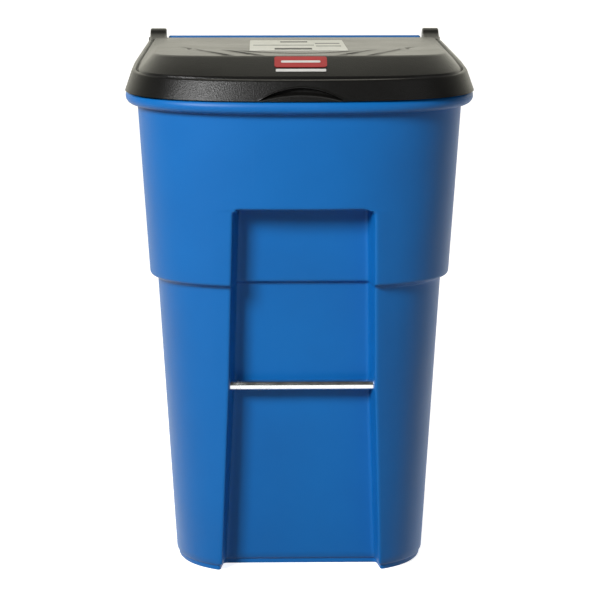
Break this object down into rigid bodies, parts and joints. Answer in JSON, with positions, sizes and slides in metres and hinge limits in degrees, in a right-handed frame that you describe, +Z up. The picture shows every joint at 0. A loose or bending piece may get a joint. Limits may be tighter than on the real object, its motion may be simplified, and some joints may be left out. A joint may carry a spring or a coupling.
{
  "type": "wheelie bin",
  "caption": "Two-wheeled waste container with a hinged lid, a stepped tapered tub, a front lift pocket with a metal bar, and a rear push handle.",
  "frame": {"origin": "on the floor, at the middle of the whole part's bounding box", "axes": "+Z up; the front, with the lift bar, faces -Y; +X is to the right for someone facing the front"},
  "size_m": [0.6, 0.728, 0.905],
  "materials": {
    "body": "satin rotation-moulded polyethylene with a fine grain",
    "lid": "pebbled black polyethylene",
    "badge": "satin printed badge",
    "label": "satin printed sheet",
    "pin": "smooth black nylon",
    "bar": "zinc-plated, polished by use",
    "axle": "zinc-plated",
    "wheel": "moulded black polypropylene",
    "tyre": "matt rubber",
    "bush": "natural acetal"
  },
  "bodies": {
    "tub": {"bin_body": "body", "hinge_pin_left": "pin", "hinge_pin_right": "pin", "axle": "axle", "spacer_left": "pin", "spacer_right": "pin", "washer_left": "axle", "washer_right": "axle", "cap_nut_left": "axle", "cap_nut_right": "axle"},
    "lid": {"lid": "lid", "lid_badge": "badge", "lid_label": "label"},
    "bar": {"lift_bar": "bar", "lift_bar_cap_left": "pin", "lift_bar_cap_right": "pin"},
    "left_wheel": {"wheel_left": "wheel", "tyre_left": "tyre", "bush_inner_left": "bush", "bush_outer_left": "bush"},
    "right_wheel": {"wheel_right": "wheel", "tyre_right": "tyre", "bush_inner_right": "bush", "bush_outer_right": "bush"}
  },
  "joints": [
    {"name": "lid_hinge", "type": "hinge", "parent": "tub", "child": "lid", "pos_m": [0, 0.337, 0.878], "axis": [-1, 0, 0], "range_deg": [0, 270]},
    {"name": "lift_bar_spin", "type": "hinge", "parent": "tub", "child": "bar", "pos_m": [0, -0.273, 0.335], "axis": [1, 0, 0], "continuous": true},
    {"name": "left_wheel_spin", "type": "hinge", "parent": "tub", "child": "left_wheel", "pos_m": [0, 0.208, 0.127], "axis": [1, 0, 0], "continuous": true},
    {"name": "right_wheel_spin", "type": "hinge", "parent": "tub", "child": "right_wheel", "pos_m": [0, 0.208, 0.127], "axis": [1, 0, 0], "continuous": true}
  ]
}
